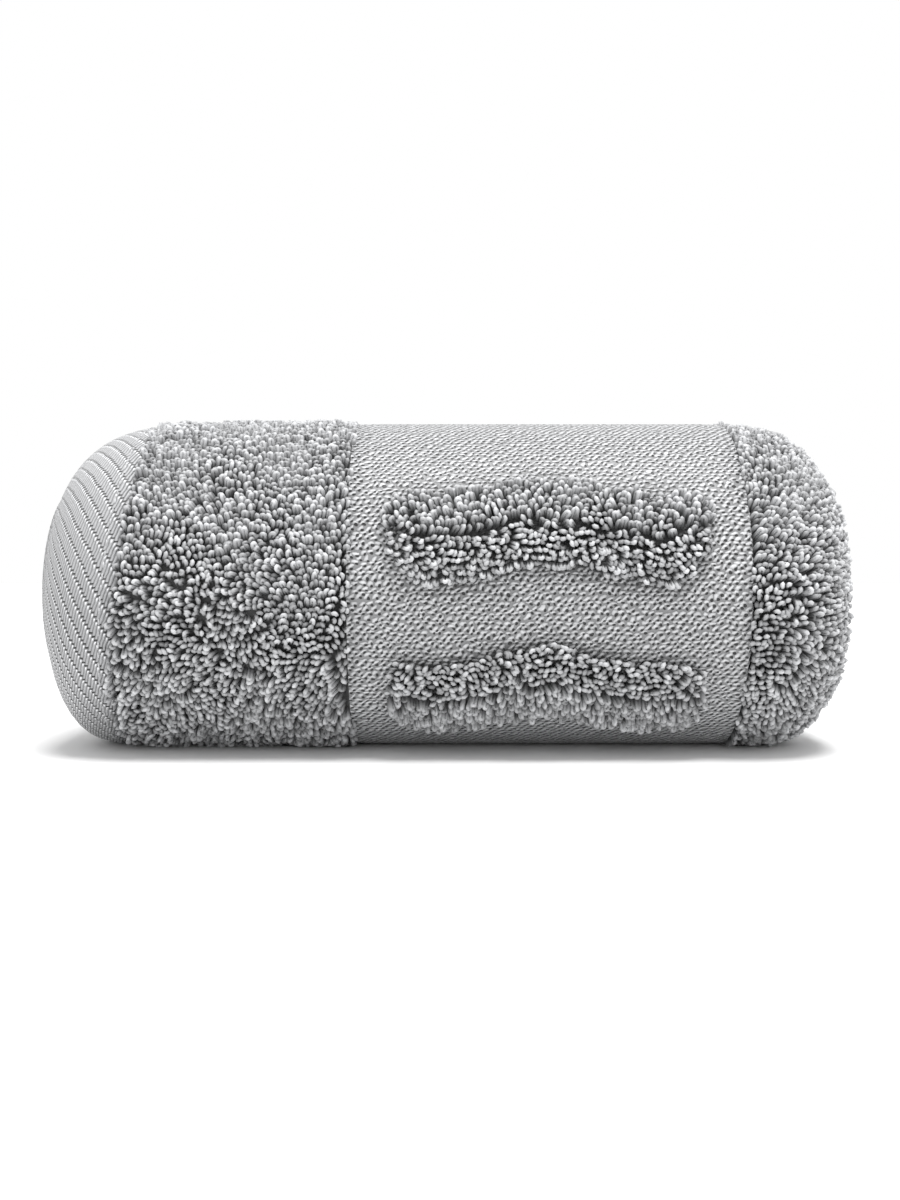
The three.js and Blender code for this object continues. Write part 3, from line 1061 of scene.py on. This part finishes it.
def stitch_line(name, start, stop, seed):
    start, stop = np.array(start), np.array(stop)
    total = np.linalg.norm(stop - start)
    count = int(total / (STITCH["length"] + STITCH["gap"]))
    shares = (np.arange(count) + 0.5) / count
    spots = start + (stop - start) * shares[:, None]
    bm = bmesh.new()
    bmesh.ops.create_icosphere(bm, subdivisions=1, radius=0.5)
    points = np.array([v.co for v in bm.verts])
    faces = np.array([[v.index for v in f.verts] for f in bm.faces])
    bm.free()
    base, normal, sideways, round_way = stand(spots)
    way = (stop - start) / total
    ahead = sideways * way[0] + round_way * way[1]
    aside = np.cross(normal, ahead)
    size = np.array([STITCH["width"], STITCH["length"], STITCH["width"]])
    local = points * size
    lifted = base + normal * CLOTH_THICKNESS / 2
    where = (
        lifted[:, None]
        + aside[:, None] * local[None, :, :1]
        + ahead[:, None] * local[None, :, 1:2]
        + normal[:, None] * local[None, :, 2:]
    )
    where[..., 2] = np.maximum(where[..., 2], LEAST_HEIGHT)
    tone = np.repeat(np.random.default_rng(seed).random(count), len(points))
    join_copies(name, faces, where, tone, stitch_yarn)


hem_line = HEM_WIDTH - STITCH_FROM_PILE
end_line = END_HEM - STITCH_FROM_PILE
end_of_line = fold_across - STITCH_FROM_FOLD
hem_seed, end_seed = STITCH_SEEDS["hem"], STITCH_SEEDS["end"]
stitch_line("hem_stitches", (hem_line, STITCH_FROM_EDGE), (hem_line, seen_along), hem_seed)
stitch_line("end_stitches", (STITCH_FROM_EDGE, end_line), (end_of_line, end_line), end_seed)

# %% [markdown]
# ## The pile goes with the cloth
# The pile and the stitches are meshes of their own, and go with the towel.

# %% [markdown]
# ## The stage
# A plain pale floor under an even white sky, one very soft light from above and a weaker one from
# the front. The camera looks almost level at the front, from about half a metre.

# %% Floor
FLOOR_HALF_SIZE = 3
PAPER_GREY = 0.75
PAPER_FINISH = {"Roughness": 0.9, "Specular IOR Level": 0.45}
floor_bm = bmesh.new()
bmesh.ops.create_grid(floor_bm, x_segments=1, y_segments=1, size=FLOOR_HALF_SIZE)
floor_mesh = bpy.data.meshes.new("floor")
floor_bm.to_mesh(floor_mesh)
floor_bm.free()
floor = bpy.data.objects.new("floor", floor_mesh)
bpy.context.scene.collection.objects.link(floor)
paper, _ = new_material("pale_paper", [PAPER_GREY] * 3, PAPER_FINISH)
floor_mesh.materials.append(paper)
print("the floor is, in metres:", 2 * FLOOR_HALF_SIZE, "square")

# %% Light
SUN_ELEVATION = math.radians(80)
SUN_POWER = 3.15
FILL_ELEVATION = math.radians(12)
FILL_POWER = 0.1
LIGHT_SOFTNESS = math.radians(20)
LIGHT_ASIDE = 0.1


def soft_light(name, elevation, power):
    data = bpy.data.lights.new(name, "SUN")
    data.energy = power
    data.angle = LIGHT_SOFTNESS
    light = bpy.data.objects.new(name, data)
    from_place = Vector((LIGHT_ASIDE, -math.cos(elevation), math.sin(elevation)))
    light.rotation_euler = from_place.to_track_quat("Z", "Y").to_euler()
    bpy.context.scene.collection.objects.link(light)


soft_light("soft_sun", SUN_ELEVATION, SUN_POWER)
soft_light("soft_fill", FILL_ELEVATION, FILL_POWER)

world = bpy.data.worlds.new("studio")
world.use_nodes = True
world.node_tree.nodes["Background"].inputs["Color"].default_value = (1, 1, 1, 1)
world.node_tree.nodes["Background"].inputs["Strength"].default_value = 1
bpy.context.scene.world = world
print("power of the lights:", SUN_POWER, "and", FILL_POWER)

# %% Camera
CAMERA_DISTANCE = 0.496
CAMERA_ELEVATION = math.radians(1)
SENSOR_HEIGHT = 36
FRAME_HEIGHT = 0.468
FRAME_CENTRE = (0.001, 0, 0.062)
FRAME_RAISE = 19 / 1200
camera_data = bpy.data.cameras.new("camera")
camera_data.sensor_fit = "VERTICAL"
camera_data.sensor_height = SENSOR_HEIGHT
camera_data.lens = SENSOR_HEIGHT * CAMERA_DISTANCE / FRAME_HEIGHT
camera = bpy.data.objects.new("camera", camera_data)
centre = Vector(FRAME_CENTRE)
offset = Vector((0, -math.cos(CAMERA_ELEVATION), math.sin(CAMERA_ELEVATION))) * CAMERA_DISTANCE
camera.location = centre + offset
camera.rotation_euler = (-offset).to_track_quat("-Z", "Y").to_euler()
bpy.context.scene.collection.objects.link(camera)
bpy.context.scene.camera = camera
camera_data.shift_y = -FRAME_RAISE
bpy.context.scene.view_settings.view_transform = "Standard"
print("lens, in mm:", round(camera_data.lens, 1))
